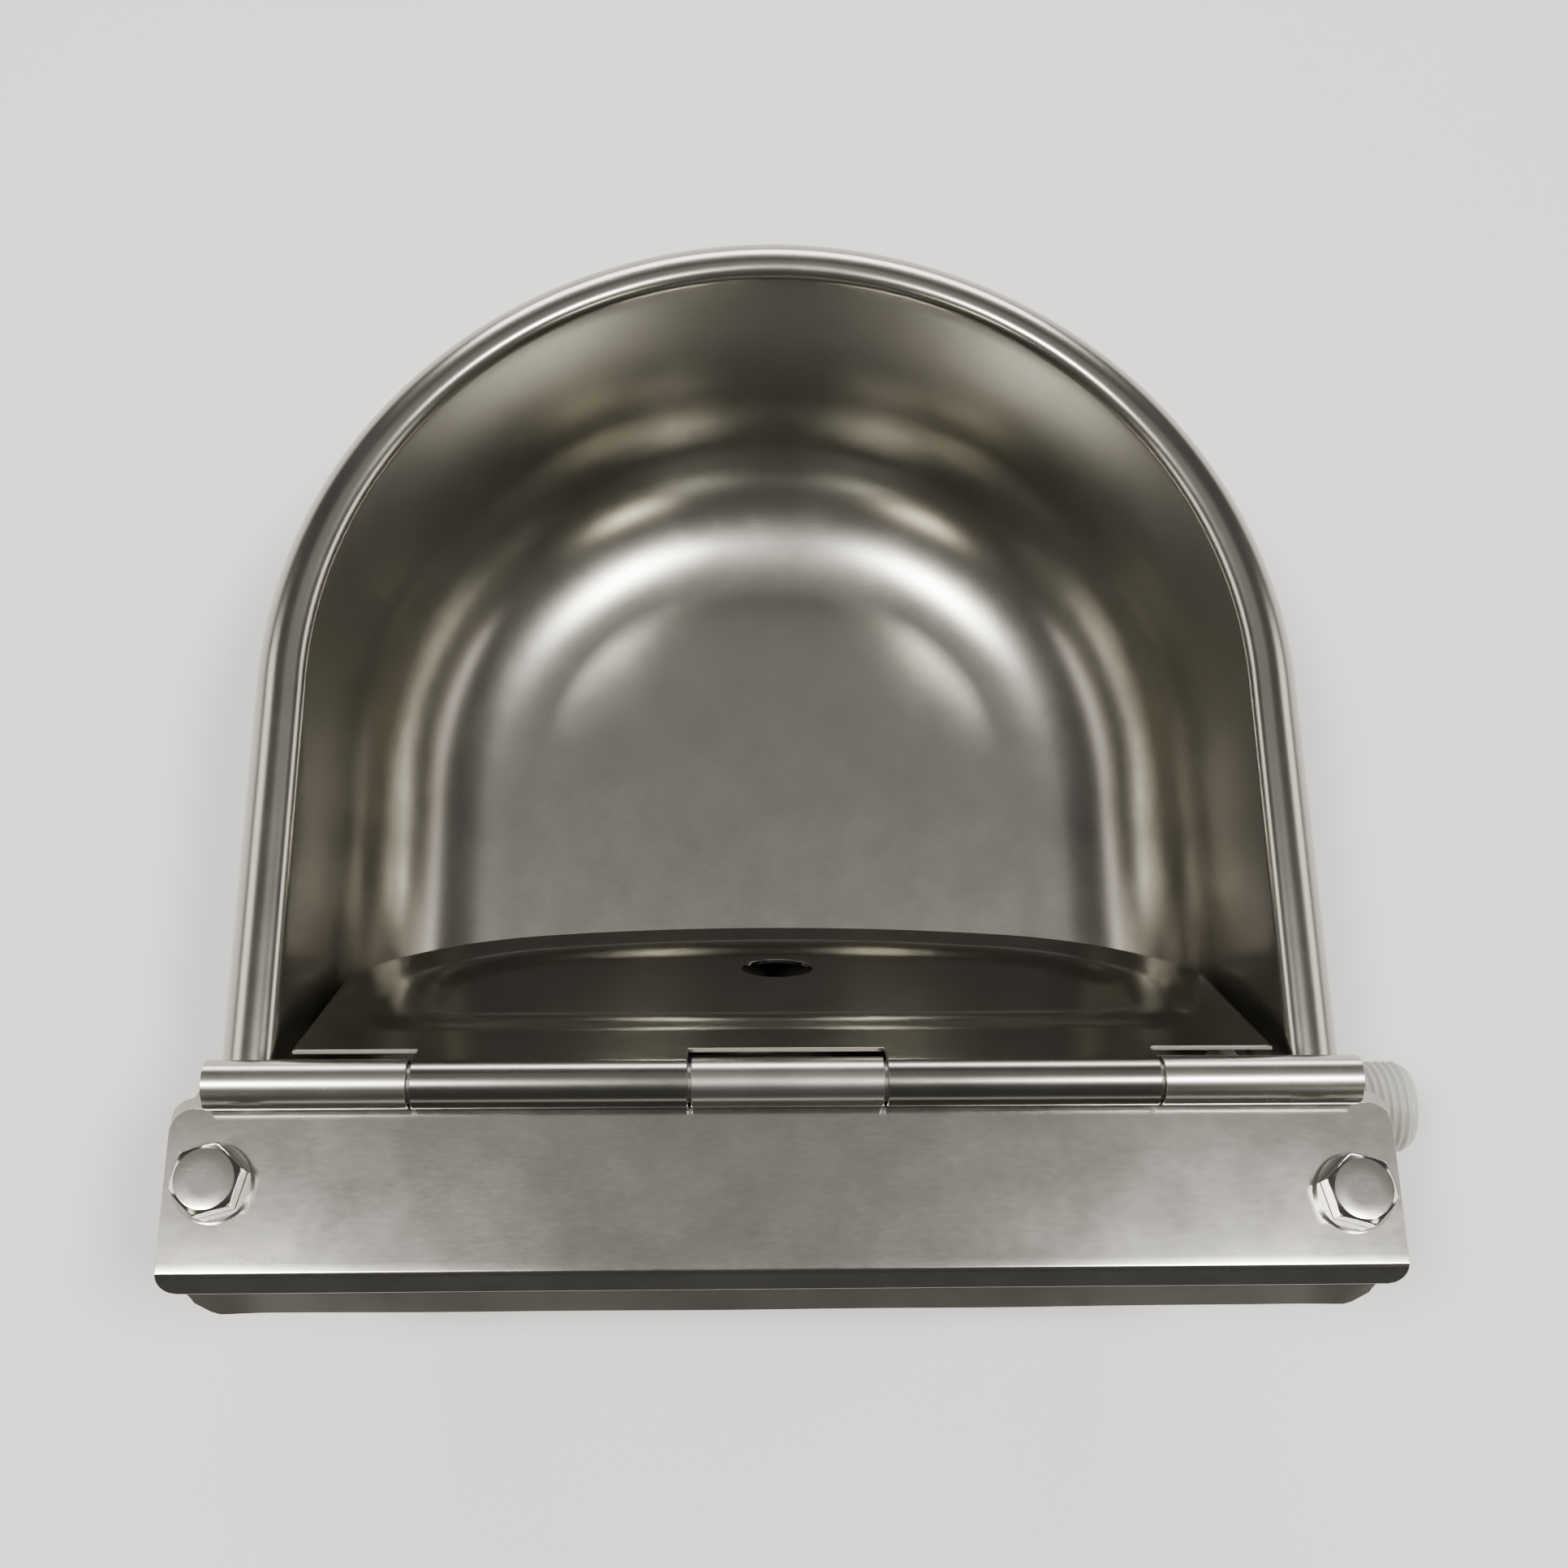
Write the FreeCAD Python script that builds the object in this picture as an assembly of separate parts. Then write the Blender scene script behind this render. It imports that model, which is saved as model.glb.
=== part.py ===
import FreeCAD, Part
import math
import os

# Stainless drinking bowl with a float valve.  Millimetres, +Z up, +Y to the
# drinking side, +X to the water inlet.  Origin on the base plane, under the
# centre of the round front of the bowl.

SHEET = 1.0            # stainless sheet of bowl, cover plate and flap

# bowl
BOWL_R = 105.5         # inside radius of the round front, also inside half width
BOWL_REAR = -120.0     # inside face of the rear wall
BOWL_CORNER = 16.0     # inside radius of the rear vertical corners
BOTTOM_R = 41.0        # inside radius between floor and wall
FLANGE_TOP = 96.4      # top face of the rolled lip and the rear flange
LIP_BEND = 3.5         # outer radius of the bend from wall to lip
LIP_ROLL = 9.0         # outer radius of the roll over the lip
LIP_DROP = 3.0         # straight edge below the roll
LIP_END = -88.0        # the rolled lip stops here and the flat ears start
EAR_BEND = 1.5         # outer radius of the bend from wall to flat flange
EAR_X = 125.0          # half width over the ears
EAR_FRONT = -94.0      # front corner of the ears
FLANGE_REAR = -127.0   # bend line of the rear skirt
SKIRT_DROP = 9.5       # rear skirt, equal drop and run (45 degrees)
SKIRT_X = 119.0        # half width of the skirt at its foot

# cover plate and hinge
PLATE_TOP = FLANGE_TOP + SHEET
PLATE_FRONT = -96.3    # front edge of the plate in the hinge notches
PLATE_REAR = -129.3    # bend line of the rear lip
PLATE_LIP = 3.4        # drop of the rear lip (45 degrees)
PLATE_CORNER = 5.0
HINGE_Y = -92.3
BARREL_R = 5.0         # outside radius of the rolled knuckles
HINGE_Z = FLANGE_TOP + BARREL_R
PIN_R = 3.95
FLAP_BORE = 4.0        # running fit of the flap on the hinge pin
PLATE_KNUCKLES = [(-117.2, -76.6), (-19.5, 19.5), (76.6, 117.2)]
FLAP_KNUCKLES = [(-75.8, -20.3), (20.3, 75.8)]
CURL = 316.0           # degrees of curl in each knuckle

# baffle flap, measured down the flap from the hinge axis
FLAP_LEAN = 28.6       # degrees forward of vertical at rest
FLAP_X = 101.5
FLAP_TOP = 7.3
FLAP_SIDE = 68.3
FLAP_FOOT = 115.8
BEAD_HEIGHT = 2.2      # height of the pressed stiffening bead
FLAP_HOLE_R = 8.5
FLAP_HOLE_S = 73.3

# cover bolts, M8
BOLTS = [(-115.2, -111.3), (115.2, -114.8)]   # the holes are not quite in line
BOLT_R = 4.0
BOLT_NECK_R = 3.4      # thread core inside the nut and holes
BOLT_NECK_Z = 87.0
BOLT_HOLE_R = 4.5
BOLT_LENGTH = 25.0
HEAD_AF, HEAD_H = 13.0, 5.3
HEAD_TURNS = (15.0, 45.0)   # degrees, as tightened
WASHER_R, WASHER_H = 8.0, 1.6
NUT_H = 6.5

# float valve on a horizontal axis along X
VALVE_Y, VALVE_Z = -90.0, 55.0
THREAD_R = 10.4775     # G 1/2 thread
THREAD_FROM = 116.5    # full thread starts just outside the lock nut
NECK_R = 10.3          # relieved thread inside the lock nut
TAIL_END = 143.5
TAIL_BORE = 6.0
WALL_HOLE_R = 10.75
FLANGE_R = 14.0
GASKET_H = 2.0
LOCK_AF, LOCK_H = 27.0, 8.0
BODY_R = 12.0
BODY_END = 66.0
CHAMBER_R = 8.35       # running fit for the piston
CHAMBER_END = 87.0
SEAT_TIP = 83.6
PISTON_R = 8.3
PIVOT_X, PIVOT_Z = 59.0, 45.0
PIVOT_R = 2.0
LEVER_BORE = 2.05      # running fit on the pivot pin
ARM_DROP = 9.0         # degrees the arm hangs below horizontal at rest
ROD_R = 2.5
FLOAT_R = 17.0
FLOAT_FROM, FLOAT_TO = 45.0, 109.0

V = FreeCAD.Vector
Z_UP = V(0, 0, 1)


def line(a, b):
    return Part.makeLine(V(*a), V(*b))


def arc(a, m, b):
    return Part.Arc(V(*a), V(*m), V(*b)).toShape()


def box(x0, x1, y0, y1, z0, z1):
    return Part.makeBox(x1 - x0, y1 - y0, z1 - z0, V(x0, y0, z0))


def zcyl(r, z0, z1, x, y):
    return Part.makeCylinder(r, z1 - z0, V(x, y, z0), Z_UP)


def xcyl(r, x0, x1, y=VALVE_Y, z=VALVE_Z):
    return Part.makeCylinder(r, x1 - x0, V(x0, y, z), V(1, 0, 0))


def ycyl(r, y0, y1, x, z):
    return Part.makeCylinder(r, y1 - y0, V(x, y0, z), V(0, 1, 0))


def hexagon(af, height, turn=0.0):
    """Hexagonal prism standing on the XY plane, chamfered by a cone cut."""
    r = af / math.sqrt(3.0)
    pts = [V(r * math.cos(math.radians(turn + 60 * i)),
             r * math.sin(math.radians(turn + 60 * i)), 0) for i in range(7)]
    prism = Part.Face(Part.makePolygon(pts)).extrude(V(0, 0, height))
    cone = Part.makeCone(af / 2 + height * 2.0, af / 2 - 0.2, height * 1.0)
    return prism.common(cone)


def fuse(shapes):
    out = shapes[0]
    for s in shapes[1:]:
        out = out.fuse(s)
    return out.removeSplitter()


def group(shapes):
    return Part.makeCompound(shapes)


def save(shape, node):
    shape.exportStep("parts/" + node + ".step")


def dee(half, rear, corner, z):
    """Closed outline: half circle in front, straight sides, rounded rear."""
    k = corner * (1 - math.sqrt(0.5))
    edges = [
        arc((half, 0, z), (0, half, z), (-half, 0, z)),
        line((-half, 0, z), (-half, rear + corner, z)),
        arc((-half, rear + corner, z), (-half + k, rear + k, z),
            (-half + corner, rear, z)),
        line((-half + corner, rear, z), (half - corner, rear, z)),
        arc((half - corner, rear, z), (half - k, rear + k, z),
            (half, rear + corner, z)),
        line((half, rear + corner, z), (half, 0, z)),
    ]
    return Part.Wire(edges)


def pan(half, rear, corner, bottom_r, top):
    """Solid pan: rounded bottom lofted through stacked outlines."""
    centre = SHEET + BOTTOM_R
    wires = []
    for deg in range(0, 91, 10):
        a = math.radians(deg)
        d = bottom_r * (1 - math.sin(a))
        z = centre - bottom_r * math.cos(a)
        wires.append(dee(half - d, rear + d, corner, z))
    lower = Part.makeLoft(wires, True, False)
    upper = Part.Face(dee(half, rear, corner, centre)).extrude(V(0, 0, top - centre))
    return lower.fuse(upper)


def lip_profile(x0=0.0, y=0.0):
    """Section of the rolled lip in the XZ plane, x measured from x0."""
    r0, z0 = x0 + BOWL_R, FLANGE_TOP - LIP_BEND
    c, s = math.sqrt(0.5), SHEET
    xb = r0 + LIP_BEND
    zr = FLANGE_TOP - LIP_ROLL
    xe = xb + LIP_ROLL
    zb = zr - LIP_DROP
    e = [
        arc((r0, y, z0), (xb - LIP_BEND * c, y, z0 + LIP_BEND * c), (xb, y, FLANGE_TOP)),
        arc((xb, y, FLANGE_TOP), (xb + LIP_ROLL * c, y, zr + LIP_ROLL * c), (xe, y, zr)),
        line((xe, y, zr), (xe, y, zb)),
        line((xe, y, zb), (xe - s, y, zb)),
        line((xe - s, y, zb), (xe - s, y, zr)),
        arc((xe - s, y, zr), (xb + (LIP_ROLL - s) * c, y, zr + (LIP_ROLL - s) * c),
            (xb, y, FLANGE_TOP - s)),
        arc((xb, y, FLANGE_TOP - s), (xb - (LIP_BEND - s) * c, y, z0 + (LIP_BEND - s) * c),
            (r0 + s, y, z0)),
        line((r0 + s, y, z0), (r0, y, z0)),
    ]
    return Part.Face(Part.Wire(e))


def ear_profile(y):
    """Section of wall top and small bend under the flat flange."""
    r0, z0, zw = BOWL_R, FLANGE_TOP - EAR_BEND, FLANGE_TOP - LIP_BEND
    c, s = math.sqrt(0.5), SHEET
    xb = r0 + EAR_BEND
    e = [
        line((r0, y, zw), (r0, y, z0)),
        arc((r0, y, z0), (xb - EAR_BEND * c, y, z0 + EAR_BEND * c), (xb, y, FLANGE_TOP)),
        line((xb, y, FLANGE_TOP), (xb, y, FLANGE_TOP - s)),
        arc((xb, y, FLANGE_TOP - s), (xb - (EAR_BEND - s) * c, y, z0 + (EAR_BEND - s) * c),
            (r0 + s, y, z0)),
        line((r0 + s, y, z0), (r0 + s, y, zw)),
        line((r0 + s, y, zw), (r0, y, zw)),
    ]
    return Part.Face(Part.Wire(e))


def mirror_x(shape):
    return shape.mirror(V(0, 0, 0), V(1, 0, 0))


def make_bowl():
    wall_top = FLANGE_TOP - LIP_BEND
    shell = pan(BOWL_R + SHEET, BOWL_REAR - SHEET, BOWL_CORNER + SHEET,
                BOTTOM_R + SHEET, wall_top)
    shell = shell.cut(pan(BOWL_R, BOWL_REAR, BOWL_CORNER, BOTTOM_R, wall_top + 5))

    # rolled lip round the front and down both sides
    lip = lip_profile()
    front = lip.revolve(V(0, 0, 0), Z_UP, 180)
    side = lip.extrude(V(0, LIP_END, 0))

    # wall top round the rear: two sides, two corners, one back
    ear = ear_profile(LIP_END)
    corner_y = BOWL_REAR + BOWL_CORNER
    corner_x = BOWL_R - BOWL_CORNER
    ear_side = ear.extrude(V(0, corner_y - LIP_END, 0))
    turn = ear_profile(corner_y)
    ear_corner = turn.revolve(V(corner_x, corner_y, 0), Z_UP, -90)
    back = turn.rotate(V(corner_x, corner_y, 0), Z_UP, -90).extrude(V(-2 * corner_x, 0, 0))

    # flat flange with its two ears
    pts = [(BOWL_R + LIP_BEND, LIP_END), (118.0, LIP_END), (120.5, EAR_FRONT + 1.0),
           (EAR_X - 0.8, EAR_FRONT - 1.5), (EAR_X, EAR_FRONT - 4.0), (EAR_X, FLANGE_REAR)]
    pts = pts + [(-x, y) for x, y in reversed(pts)]
    ring = [V(x, y, FLANGE_TOP - SHEET) for x, y in pts + pts[:1]]
    flange = Part.Face(Part.makePolygon(ring)).extrude(V(0, 0, SHEET))
    inside = dee(BOWL_R + EAR_BEND, BOWL_REAR - EAR_BEND, BOWL_CORNER + EAR_BEND, FLANGE_TOP - 5)
    flange = flange.cut(Part.Face(inside).extrude(V(0, 0, 10)))

    # rear skirt at 45 degrees, corners trimmed back
    n = SHEET * math.sqrt(0.5)
    d = SHEET * (math.sqrt(2.0) - 1.0)
    a = (FLANGE_REAR, FLANGE_TOP)
    b = (FLANGE_REAR - SKIRT_DROP, FLANGE_TOP - SKIRT_DROP)
    prof = [a, b, (b[0] + n, b[1] - n), (a[0] + d, FLANGE_TOP - SHEET), (a[0] + d, FLANGE_TOP)]
    skirt = Part.Face(Part.makePolygon([V(-EAR_X, y, z) for y, z in prof + prof[:1]]))
    skirt = skirt.extrude(V(2 * EAR_X, 0, 0))
    for sx in (-1, 1):
        wedge = [V(sx * x, y, 70) for x, y in
                 [(EAR_X, FLANGE_REAR), (EAR_X + 9, FLANGE_REAR), (EAR_X + 9, b[0] - 5),
                  (SKIRT_X - 3, b[0] - 5), (EAR_X, FLANGE_REAR)]]
        skirt = skirt.cut(Part.Face(Part.makePolygon(wedge)).extrude(V(0, 0, 40)))

    bowl = fuse([shell, front, side, mirror_x(side), ear_side, mirror_x(ear_side),
                 ear_corner, mirror_x(ear_corner), back, flange, skirt])
    for x, y in BOLTS:
        bowl = bowl.cut(zcyl(BOLT_HOLE_R, 90, 100, x, y))
    return bowl.cut(xcyl(WALL_HOLE_R, 100, 112))


def knuckle(bore, x0, x1, start):
    """Rolled knuckle on the hinge axis, open between its end and the sheet."""
    def pt(r, deg):
        a = math.radians(deg)
        return (x0, r * math.cos(a), r * math.sin(a))
    mid, end = start + CURL / 2, start + CURL
    e = [arc(pt(BARREL_R, start), pt(BARREL_R, mid), pt(BARREL_R, end)),
         line(pt(BARREL_R, end), pt(bore, end)),
         arc(pt(bore, end), pt(bore, mid), pt(bore, start)),
         line(pt(bore, start), pt(BARREL_R, start))]
    return Part.Face(Part.Wire(e)).extrude(V(x1 - x0, 0, 0))


def make_cover_plate():
    z0, z1 = FLANGE_TOP, PLATE_TOP
    plate = box(-EAR_X, EAR_X, PLATE_REAR, PLATE_FRONT, z0, z1)
    corners = [e for e in plate.Edges
               if abs(e.Vertexes[0].Y - PLATE_FRONT) < 1e-6
               and abs(e.Vertexes[1].Y - PLATE_FRONT) < 1e-6 and abs(e.Length - SHEET) < 1e-6]
    plate = plate.makeFillet(PLATE_CORNER, corners)

    n = SHEET * math.sqrt(0.5)
    d = SHEET * (math.sqrt(2.0) - 1.0)
    a = (PLATE_REAR, z1)
    b = (PLATE_REAR - PLATE_LIP, z1 - PLATE_LIP)
    prof = [a, b, (b[0] + n, b[1] - n), (a[0] + d, z0), (a[0] + d, z1)]
    lip = Part.Face(Part.makePolygon([V(-EAR_X, y, z) for y, z in prof + prof[:1]]))
    lip = lip.extrude(V(2 * EAR_X, 0, 0))
    parts = [plate, lip]
    for x0, x1 in PLATE_KNUCKLES:
        parts.append(box(x0, x1, PLATE_FRONT - 1, HINGE_Y, z0, z1))
        parts.append(knuckle(PIN_R, x0, x1, -90).translate(V(0, HINGE_Y, HINGE_Z)))
    plate = fuse(parts)
    plate = plate.cut(xcyl(PIN_R, -130, 130, HINGE_Y, HINGE_Z))
    for x, y in BOLTS:
        plate = plate.cut(zcyl(BOLT_HOLE_R, 90, 100, x, y))
    return plate


def make_hinge_pin():
    pin = xcyl(PIN_R, -116.8, 116.8, HINGE_Y, HINGE_Z)
    return pin.makeChamfer(0.5, [e for e in pin.Edges if e.Length < 30])


def panel_wire(half, corner, top, side, mid, end, foot, n):
    """D-shaped outline on the flap at height n."""
    def p(x, s):
        return (x, n, -s)
    k = corner * (1 - math.sqrt(0.5))
    e = [
        line(p(-half + corner, top), p(half - corner, top)),
        arc(p(half - corner, top), p(half - k, top + k), p(half, top + corner)),
        line(p(half, top + corner), p(half, side)),
        arc(p(half, side), p(*mid), p(*end)),
        arc(p(*end), p(0, foot), p(-end[0], end[1])),
        arc(p(-end[0], end[1]), p(-mid[0], mid[1]), p(-half, side)),
        line(p(-half, side), p(-half, top + corner)),
        arc(p(-half, top + corner), p(-half + k, top + k), p(-half + corner, top)),
    ]
    return Part.Wire(e)


def bead_wire(t, n):
    """Outline of the stiffening bead at height n: t = 0 outer foot, 1 inner foot."""
    def mix(a, b):
        return a + (b - a) * t
    return panel_wire(mix(91.5, 74.5), mix(12.0, 6.0), mix(20.4, 34.6), mix(58.0, 55.0),
                      (mix(83.4, 67.5), mix(75.7, 68.0)), (mix(50.0, 44.0), mix(96.0, 81.0)),
                      mix(102.8, 85.0), n)


def bead(n):
    outer = Part.makeLoft([bead_wire(0, n), bead_wire(0.4, n + BEAD_HEIGHT)], True, True)
    inner = Part.makeLoft([bead_wire(1, n), bead_wire(0.6, n + BEAD_HEIGHT)], True, True)
    return outer.cut(inner)


def make_flap():
    """Flap built hanging straight down from the axis, then leaned forward."""
    n0, n1 = BARREL_R - SHEET, BARREL_R

    def p(x, s):
        return (x, n0, -s)
    outline = [
        line(p(-FLAP_X, FLAP_TOP), p(FLAP_X, FLAP_TOP)),
        line(p(FLAP_X, FLAP_TOP), p(FLAP_X, FLAP_SIDE)),
        arc(p(FLAP_X, FLAP_SIDE), p(91.0, 86.5), p(57.5, 108.1)),
        arc(p(57.5, 108.1), p(0, FLAP_FOOT), p(-57.5, 108.1)),
        arc(p(-57.5, 108.1), p(-91.0, 86.5), p(-FLAP_X, FLAP_SIDE)),
        line(p(-FLAP_X, FLAP_SIDE), p(-FLAP_X, FLAP_TOP)),
    ]
    sheet = Part.Face(Part.Wire(outline)).extrude(V(0, SHEET, 0))
    # closed stiffening bead, pressed out towards the drinking side
    flap = sheet.fuse(bead(n1)).cut(bead(n0))
    parts = [flap]
    for x0, x1 in FLAP_KNUCKLES:
        parts.append(box(x0, x1, n0, n1, -FLAP_TOP - 1, 0))
        parts.append(knuckle(FLAP_BORE, x0, x1, 0))
    flap = fuse(parts)
    flap = flap.cut(ycyl(FLAP_HOLE_R, -5, 15, 0, -FLAP_HOLE_S))
    flap.rotate(V(0, 0, 0), V(1, 0, 0), FLAP_LEAN)
    return flap.translate(V(0, HINGE_Y, HINGE_Z))


def washer(z0, x, y):
    ring = zcyl(WASHER_R, z0, z0 + WASHER_H, x, y)
    return ring.cut(zcyl(BOLT_R + 0.2, z0 - 1, z0 + WASHER_H + 1, x, y))


def make_fasteners():
    bolts, tops, lows, nuts = [], [], [], []
    head_z = PLATE_TOP + WASHER_H
    low_z = FLANGE_TOP - SHEET - WASHER_H
    for (x, y), turn in zip(BOLTS, HEAD_TURNS):
        head = hexagon(HEAD_AF, HEAD_H, turn).translate(V(x, y, head_z))
        bolts.append(fuse([head, zcyl(BOLT_NECK_R, BOLT_NECK_Z, head_z + 1, x, y),
                           zcyl(BOLT_R, head_z - BOLT_LENGTH, BOLT_NECK_Z, x, y)]))
        tops.append(washer(PLATE_TOP, x, y))
        lows.append(washer(low_z, x, y))
        nut = hexagon(HEAD_AF, NUT_H, turn).translate(V(x, y, low_z - NUT_H))
        nuts.append(nut.cut(zcyl(BOLT_NECK_R, 60, 100, x, y)))
    save(group(bolts), "cover_bolts")
    save(group(tops), "cover_washers")
    save(group(lows), "lower_washers")
    save(group(nuts), "cover_nuts")


def make_valve_body():
    flange_x = BOWL_R - GASKET_H
    tail = xcyl(NECK_R, flange_x - 1, THREAD_FROM + 1).fuse(xcyl(THREAD_R, THREAD_FROM, TAIL_END))
    tail = tail.makeChamfer(1.0, [e for e in tail.Edges
                                  if e.Length < 90 and abs(e.BoundBox.XMin - TAIL_END) < 1e-6
                                  and abs(e.BoundBox.XMax - TAIL_END) < 1e-6])
    body = [tail, xcyl(FLANGE_R, flange_x - 4, flange_x), xcyl(BODY_R, BODY_END, flange_x - 3)]
    # cheeks that carry the lever, joined by a web that stops the arm
    for y in (-8.5, 5.0):
        body.append(box(50, 70, VALVE_Y + y, VALVE_Y + y + 3.5, 38, 50))
    body.append(box(50, 54, VALVE_Y - 8.5, VALVE_Y + 8.5, 38, 40.7))
    body = fuse(body)
    body = body.cut(xcyl(CHAMBER_R, BODY_END, CHAMBER_END))
    body = body.cut(xcyl(7.0, CHAMBER_END - 1, 92.0)).cut(xcyl(TAIL_BORE, 91, TAIL_END + 5))
    # three outlets round the seat
    body = body.cut(ycyl(2.2, VALVE_Y - 20, VALVE_Y + 20, 83.2, VALVE_Z))
    body = body.cut(Part.makeCylinder(2.2, 20, V(83.2, VALVE_Y, VALVE_Z), V(0, 0, -1)))
    return body.cut(ycyl(PIVOT_R, VALVE_Y - 20, VALVE_Y + 20, PIVOT_X, PIVOT_Z))


def make_seat():
    seat = fuse([xcyl(7.0, CHAMBER_END, 92.0), xcyl(4.0, SEAT_TIP, CHAMBER_END + 1)])
    groove = xcyl(8.0, 88.8, 90.2).cut(xcyl(5.6, 88.0, 91.0))
    return seat.cut(groove).cut(xcyl(2.0, 80, 95))


def make_piston():
    piston = fuse([xcyl(PISTON_R, 66.5, 79.3), xcyl(4.0, 62.3, 67.0)])
    return piston.cut(xcyl(6.0, 77.8, 80.0))


def arm_frame(shape):
    """Put a shape built along -X from the pivot into its hanging position."""
    shape.rotate(V(0, 0, 0), V(0, 1, 0), -ARM_DROP)
    return shape.translate(V(PIVOT_X, VALVE_Y, PIVOT_Z))


def along(r, d0, d1):
    return Part.makeCylinder(r, d1 - d0, V(-d0, 0, 0), V(-1, 0, 0))


def make_arm():
    boss = ycyl(5.0, VALVE_Y - 4.5, VALVE_Y + 4.5, PIVOT_X, PIVOT_Z)
    finger = box(PIVOT_X - 2, PIVOT_X + 2, VALVE_Y - 3, VALVE_Y + 3, PIVOT_Z, VALVE_Z)
    nose = ycyl(3.0, VALVE_Y - 3, VALVE_Y + 3, PIVOT_X, VALVE_Z)
    rod = arm_frame(along(ROD_R, 0, 116))
    arm = fuse([boss, finger, nose, rod])
    return arm.cut(ycyl(LEVER_BORE, VALVE_Y - 9, VALVE_Y + 9, PIVOT_X, PIVOT_Z))


def make_float():
    body = along(FLOAT_R, FLOAT_FROM, FLOAT_TO)
    body = body.makeFillet(4.0, [e for e in body.Edges if abs(e.Length - 2 * math.pi * FLOAT_R) < 1])
    return arm_frame(body.cut(along(ROD_R, 0, 130)))


def make_float_fixings():
    washers, nuts = [], []
    for d, side in ((FLOAT_FROM - 1.2, -1), (FLOAT_TO, 1)):
        washers.append(arm_frame(along(8.0, d, d + 1.2).cut(along(ROD_R, d - 1, d + 3))))
        nut = hexagon(8.0, 4.0)
        nut.rotate(V(0, 0, 0), V(0, 1, 0), -90)
        nut.translate(V(-(d + 1.2) if side > 0 else -(d - 4.0), 0, 0))
        nuts.append(arm_frame(nut.cut(along(ROD_R, d - 8, d + 8))))
    save(group(washers), "float_washers")
    save(group(nuts), "float_nuts")


os.makedirs("parts", exist_ok=True)

save(make_bowl(), "bowl")
save(make_cover_plate(), "cover_plate")
save(make_hinge_pin(), "hinge_pin")
save(make_flap(), "baffle_flap")
make_fasteners()

save(make_valve_body(), "valve_body")
save(xcyl(FLANGE_R, BOWL_R - GASKET_H, BOWL_R).cut(xcyl(10.6, 90, 120)), "inlet_gasket")
outer = BOWL_R + SHEET
save(xcyl(FLANGE_R, outer, outer + 1.5).cut(xcyl(10.6, 90, 120)), "inlet_washer")
lock = hexagon(LOCK_AF, LOCK_H)
lock.rotate(V(0, 0, 0), V(0, 1, 0), 90)
lock.translate(V(outer + 1.5, VALVE_Y, VALVE_Z))
save(lock.cut(xcyl(NECK_R, 90, 130)), "inlet_lock_nut")
save(make_seat(), "valve_seat")
save(Part.makeTorus(6.3, 0.7, V(89.5, VALVE_Y, VALVE_Z), V(1, 0, 0)), "seat_o_ring")
save(make_piston(), "valve_piston")
save(xcyl(6.0, 77.8, 79.8), "piston_seal")

save(ycyl(PIVOT_R, VALVE_Y - 10, VALVE_Y + 10, PIVOT_X, PIVOT_Z), "arm_pivot_pin")
clips = [ycyl(4.0, VALVE_Y + y, VALVE_Y + y + 0.8, PIVOT_X, PIVOT_Z)
         .cut(ycyl(PIVOT_R, VALVE_Y - 20, VALVE_Y + 20, PIVOT_X, PIVOT_Z)) for y in (-9.3, 8.5)]
save(group(clips), "pivot_clips")
save(make_arm(), "float_arm")
save(make_float(), "float_body")
make_float_fixings()
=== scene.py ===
import bpy
import bmesh
import math
from mathutils import Vector, Matrix


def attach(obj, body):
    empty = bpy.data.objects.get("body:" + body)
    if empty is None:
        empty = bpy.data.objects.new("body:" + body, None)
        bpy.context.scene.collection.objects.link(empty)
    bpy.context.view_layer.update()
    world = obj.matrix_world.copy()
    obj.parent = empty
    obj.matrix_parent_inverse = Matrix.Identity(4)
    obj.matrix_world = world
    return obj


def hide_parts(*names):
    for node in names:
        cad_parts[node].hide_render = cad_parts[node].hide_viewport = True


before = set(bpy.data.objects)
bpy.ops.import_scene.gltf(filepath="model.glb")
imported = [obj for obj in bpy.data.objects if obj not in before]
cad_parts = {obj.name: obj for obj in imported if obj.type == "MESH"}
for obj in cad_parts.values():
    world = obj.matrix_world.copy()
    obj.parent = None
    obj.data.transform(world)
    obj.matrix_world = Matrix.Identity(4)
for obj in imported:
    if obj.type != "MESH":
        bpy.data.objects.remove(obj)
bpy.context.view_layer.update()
MM = 0.001

# ---------------------------------------------------------------- dimensions
# Millimetres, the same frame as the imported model.
SHEET = 1.0
BOWL_R, BOWL_REAR, BOWL_CORNER, BOTTOM_R = 105.5, -120.0, 16.0, 41.0
FLOOR_MID_Y = -8.0      # the floor's rings shrink towards this point
TOP, LIP_BEND, LIP_ROLL, LIP_DROP = 96.4, 3.5, 9.0, 3.0
LIP_OUT = BOWL_R + LIP_BEND + LIP_ROLL
EAR_X, EAR_START, EAR_FRONT, EAR_CORNER, EAR_BEND = 125.0, -90.0, -94.0, 4.5, 1.5
LIP_FADE_Y, LIP_FADE = -84.0, 9.0      # where the rolled lip turns into the flat ear
FLANGE_REAR, FOLD_R = -126.0, 1.5
SKIRT_RUN, SKIRT_TAPER = 8.9, 6.0
PLATE_TOP, PLATE_FRONT, PLATE_REAR = 97.4, -96.3, -128.6
PLATE_LIP, PLATE_LIP_CORNER, PLATE_CORNER = 2.9, 4.0, 5.0
HINGE_Y, HINGE_Z, BARREL_R, CURL = -92.3, 101.4, 5.0, 316.0
PLATE_KNUCKLES = [(-117.2, -76.6), (-19.5, 19.5), (76.6, 117.2)]
FLAP_KNUCKLES = [(-75.8, -20.3), (20.3, 75.8)]
FLAP_LEAN, FLAP_X, FLAP_TOP = 28.6, 101.5, 7.3
FLAP_HOLE_S, FLAP_HOLE_R, FLAP_WINDOW = 73.3, 8.5, 12.0
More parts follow.
